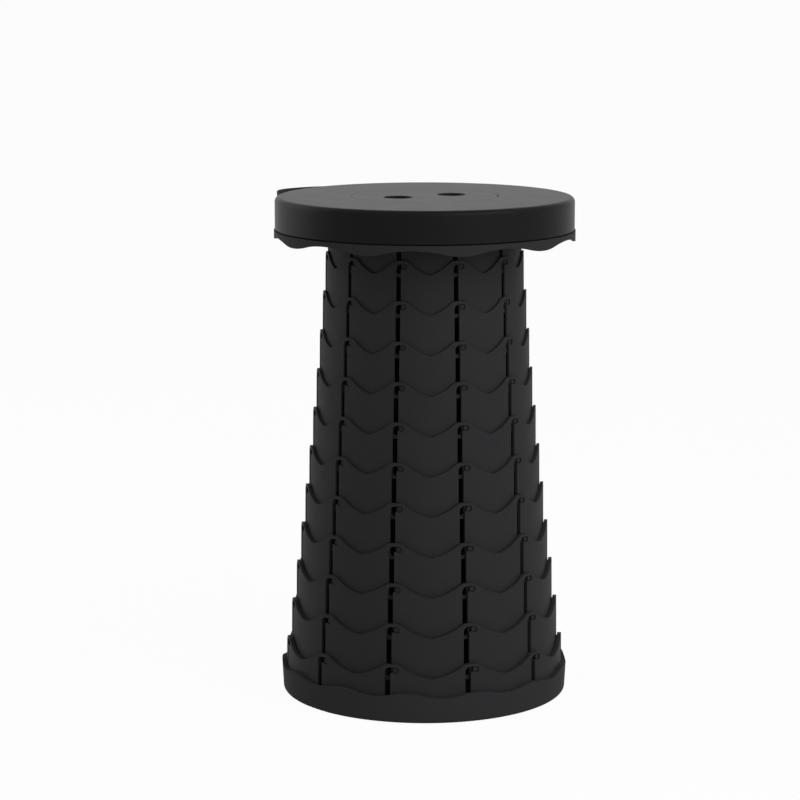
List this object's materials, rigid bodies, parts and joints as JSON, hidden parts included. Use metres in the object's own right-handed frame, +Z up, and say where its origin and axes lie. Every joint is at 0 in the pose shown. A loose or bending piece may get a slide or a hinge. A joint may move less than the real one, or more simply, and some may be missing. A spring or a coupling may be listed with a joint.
{
  "type": "collapsible telescopic stool",
  "caption": "Round stool on nested scalloped rings that slide into each other, locked by pegs in hooked slots, with a dished base, a lift-out centre disc and a carry strap.",
  "frame": {"origin": "on the floor, on the stool's axis, at the underside of the middle foot pad", "axes": "+Z up along the stool's axis and the way it draws out; -Y is the pictured front, and the carry strap hangs at the back, +Y"},
  "size_m": [0.269, 0.2781, 0.45],
  "materials": {
    "ring_plastic": "moulded polypropylene, near black, satin",
    "seat_plastic": "moulded polypropylene, near black, fine grain on top",
    "skirt_plastic": "moulded polypropylene, charcoal, satin",
    "base_plastic": "moulded polypropylene, charcoal, satin",
    "pad_rubber": "soft rubber, matt",
    "screw_steel": "zinc plated",
    "strap_webbing": "woven black webbing"
  },
  "bodies": {
    "base": {"base_shell": "base_plastic", "foot_pads": "pad_rubber", "ring_11": "ring_plastic"},
    "ring_10": {"ring_10": "ring_plastic"},
    "ring_09": {"ring_09": "ring_plastic"},
    "ring_08": {"ring_08": "ring_plastic"},
    "ring_07": {"ring_07": "ring_plastic"},
    "ring_06": {"ring_06": "ring_plastic"},
    "ring_05": {"ring_05": "ring_plastic"},
    "ring_04": {"ring_04": "ring_plastic"},
    "ring_03": {"ring_03": "ring_plastic"},
    "ring_02": {"ring_02": "ring_plastic"},
    "ring_01": {"ring_01": "ring_plastic"},
    "seat": {"seat_ring": "ring_plastic", "seat_frame": "skirt_plastic", "seat_cap": "seat_plastic", "centre_disc": "seat_plastic", "seat_screws": "screw_steel", "strap_rivets": "screw_steel", "carry_strap": "strap_webbing"}
  },
  "joints": [
    {"name": "ring_10_slide", "type": "slide", "parent": "base", "child": "ring_10", "axis": [0, 0, -1], "range_m": [0, 0.0349]},
    {"name": "ring_09_slide", "type": "slide", "parent": "ring_10", "child": "ring_09", "axis": [0, 0, -1], "range_m": [0, 0.0349]},
    {"name": "ring_08_slide", "type": "slide", "parent": "ring_09", "child": "ring_08", "axis": [0, 0, -1], "range_m": [0, 0.0349]},
    {"name": "ring_07_slide", "type": "slide", "parent": "ring_08", "child": "ring_07", "axis": [0, 0, -1], "range_m": [0, 0.0349]},
    {"name": "ring_06_slide", "type": "slide", "parent": "ring_07", "child": "ring_06", "axis": [0, 0, -1], "range_m": [0, 0.0349]},
    {"name": "ring_05_slide", "type": "slide", "parent": "ring_06", "child": "ring_05", "axis": [0, 0, -1], "range_m": [0, 0.0349]},
    {"name": "ring_04_slide", "type": "slide", "parent": "ring_05", "child": "ring_04", "axis": [0, 0, -1], "range_m": [0, 0.0349]},
    {"name": "ring_03_slide", "type": "slide", "parent": "ring_04", "child": "ring_03", "axis": [0, 0, -1], "range_m": [0, 0.0349]},
    {"name": "ring_02_slide", "type": "slide", "parent": "ring_03", "child": "ring_02", "axis": [0, 0, -1], "range_m": [0, 0.0349]},
    {"name": "ring_01_slide", "type": "slide", "parent": "ring_02", "child": "ring_01", "axis": [0, 0, -1], "range_m": [0, 0.0349]},
    {"name": "seat_slide", "type": "slide", "parent": "ring_01", "child": "seat", "axis": [0, 0, -1], "range_m": [0, 0.0349]}
  ]
}
